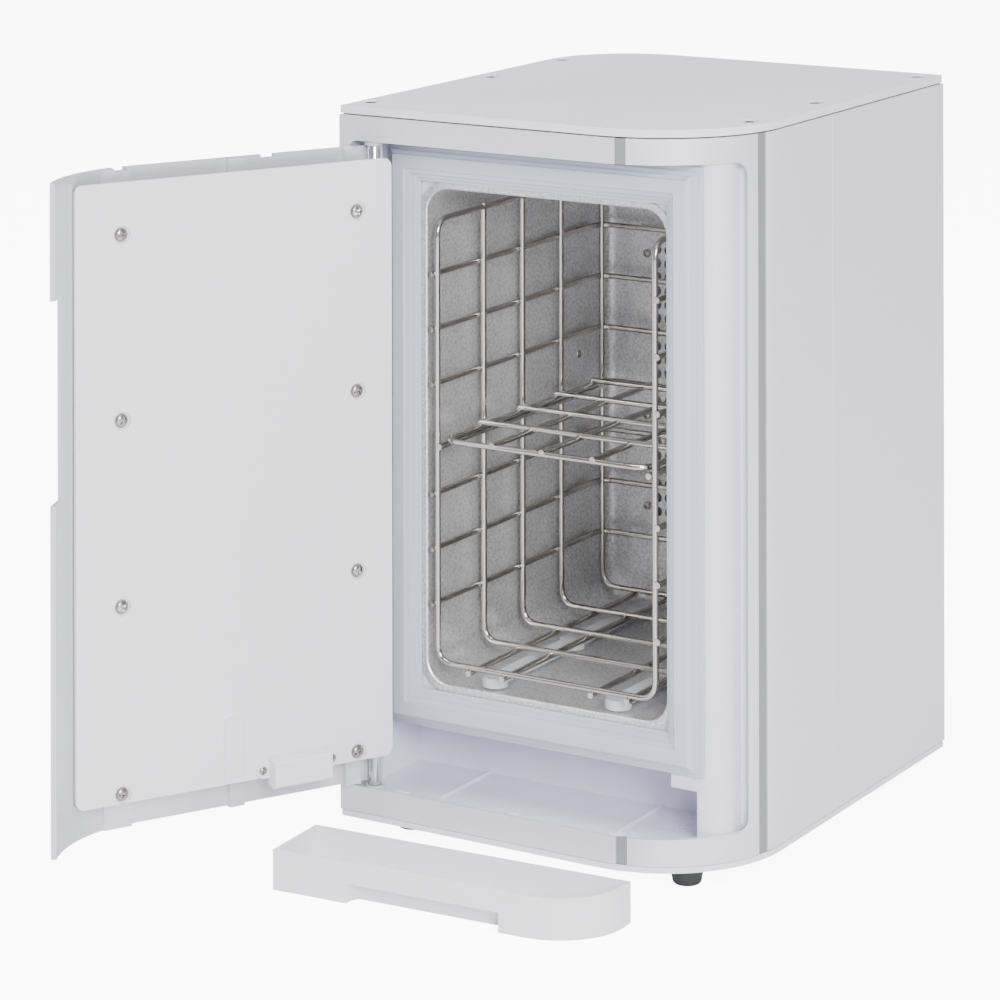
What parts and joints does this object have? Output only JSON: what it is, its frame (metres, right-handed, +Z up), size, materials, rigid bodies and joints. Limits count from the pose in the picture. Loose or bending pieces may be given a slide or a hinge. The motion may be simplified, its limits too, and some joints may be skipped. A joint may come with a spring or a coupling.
{
  "type": "uv sterilizer cabinet",
  "caption": "Countertop salon tool sterilizer: rounded case, hinged door standing open, wire basket with a loose shelf before a perforated lamp guard, and a drip tray.",
  "frame": {"origin": "middle of the plan of everything at rest, on the surface that the feet and the tray stand on", "axes": "X along the front from the hinge side to the rounded side, Y from the front to the back, Z up"},
  "size_m": [0.2676, 0.4218, 0.357],
  "materials": {
    "top_white": "satin white moulded plate",
    "base_white": "satin white moulded plate",
    "case_aluminium": "fine silver-white powder coat",
    "frame_aluminium": "fine silver-white powder coat",
    "joint_strip": "grey joint strip",
    "liner_plastic": "pale lavender moulded plastic",
    "gasket_silicone": "pale blue-grey silicone",
    "chamber_aluminium": "grained aluminium",
    "guard_aluminium": "perforated, grained aluminium",
    "insulation_foam": "light closed-cell foam",
    "door_foam_black": "light black foam",
    "heater_silicone": "red silicone heating mat",
    "lamp_glass": "clear quartz glass",
    "hinge_and_lamp_plastic": "pale grey plastic",
    "black_plastic": "black moulded plastic",
    "rocker_plastic": "black moulded plastic",
    "door_aluminium": "silver paint",
    "white_plastic": "white vacuum-formed plastic",
    "tray_plastic": "white moulded plastic",
    "hinge_chrome": "polished chrome",
    "screw_steel": "bright zinc plated steel",
    "foot_rubber": "black rubber",
    "wire_steel": "electropolished stainless wire",
    "runner_plastic": "translucent white plastic"
  },
  "bodies": {
    "cabinet": {"base_plate": "base_white", "top_plate": "top_white", "top_screw_1": "screw_steel", "top_screw_2": "screw_steel", "top_screw_3": "screw_steel", "top_screw_4": "screw_steel", "top_screw_5": "screw_steel", "top_screw_6": "screw_steel", "left_panel": "case_aluminium", "right_panel_front": "case_aluminium", "right_panel_rear": "case_aluminium", "rear_panel": "case_aluminium", "front_frame_left": "frame_aluminium", "front_frame_corner": "frame_aluminium", "seam_strip_top": "joint_strip", "seam_strip_bottom": "joint_strip", "side_groove_strip": "joint_strip", "foot_front_left": "foot_rubber", "foot_front_right": "foot_rubber", "foot_back_left": "foot_rubber", "foot_back_right": "foot_rubber", "front_liner": "liner_plastic", "gasket": "gasket_silicone", "chamber": "chamber_aluminium", "chamber_insulation": "insulation_foam", "heater_mat": "heater_silicone", "thermostat": "black_plastic", "lamp_guard": "guard_aluminium", "lamp_box": "case_aluminium", "uv_lamp": "lamp_glass", "lamp_socket_bottom": "hinge_and_lamp_plastic", "lamp_socket_top": "hinge_and_lamp_plastic", "lamp_ballast": "black_plastic", "door_switch": "black_plastic", "power_inlet": "black_plastic", "switch_housing": "black_plastic", "hinge_bush_bottom": "hinge_and_lamp_plastic", "hinge_bush_top": "hinge_and_lamp_plastic"},
    "door": {"door_shell": "door_aluminium", "door_foam": "door_foam_black", "door_inner_panel": "white_plastic", "door_screw_1": "screw_steel", "door_screw_2": "screw_steel", "door_screw_3": "screw_steel", "door_screw_4": "screw_steel", "door_screw_5": "screw_steel", "door_screw_6": "screw_steel", "door_screw_7": "screw_steel", "door_screw_8": "screw_steel", "magnet_block": "white_plastic", "hinge_rod": "hinge_chrome"},
    "tray": {"drip_tray": "tray_plastic"},
    "basket": {"basket_floor": "wire_steel", "basket_left": "wire_steel", "basket_right": "wire_steel", "basket_back": "wire_steel", "basket_runner_left": "runner_plastic", "basket_runner_right": "runner_plastic"},
    "shelf": {"basket_shelf": "wire_steel"},
    "power_rocker": {"power_rocker": "rocker_plastic"}
  },
  "joints": [
    {"name": "door_hinge", "type": "hinge", "parent": "cabinet", "child": "door", "pos_m": [-0.05962, -0.03877, 0.18], "axis": [0, 0, 1], "range_deg": [0, 118.4]},
    {"name": "basket_slide", "type": "slide", "parent": "cabinet", "child": "basket", "axis": [0, -1, 0], "range_m": [0, 0.215]},
    {"name": "shelf_slide", "type": "slide", "parent": "basket", "child": "shelf", "axis": [0, -1, 0], "range_m": [0, 0.2]},
    {"name": "tray_lift", "type": "slide", "parent": "cabinet", "child": "tray", "axis": [0.2386, 0.6562, 0.7159], "range_m": [0, 0.0335]},
    {"name": "power_rocker_tilt", "type": "hinge", "parent": "cabinet", "child": "power_rocker", "pos_m": [0.05178, 0.20723, 0.041], "axis": [0, 0, 1], "range_deg": [-18, 0]}
  ]
}
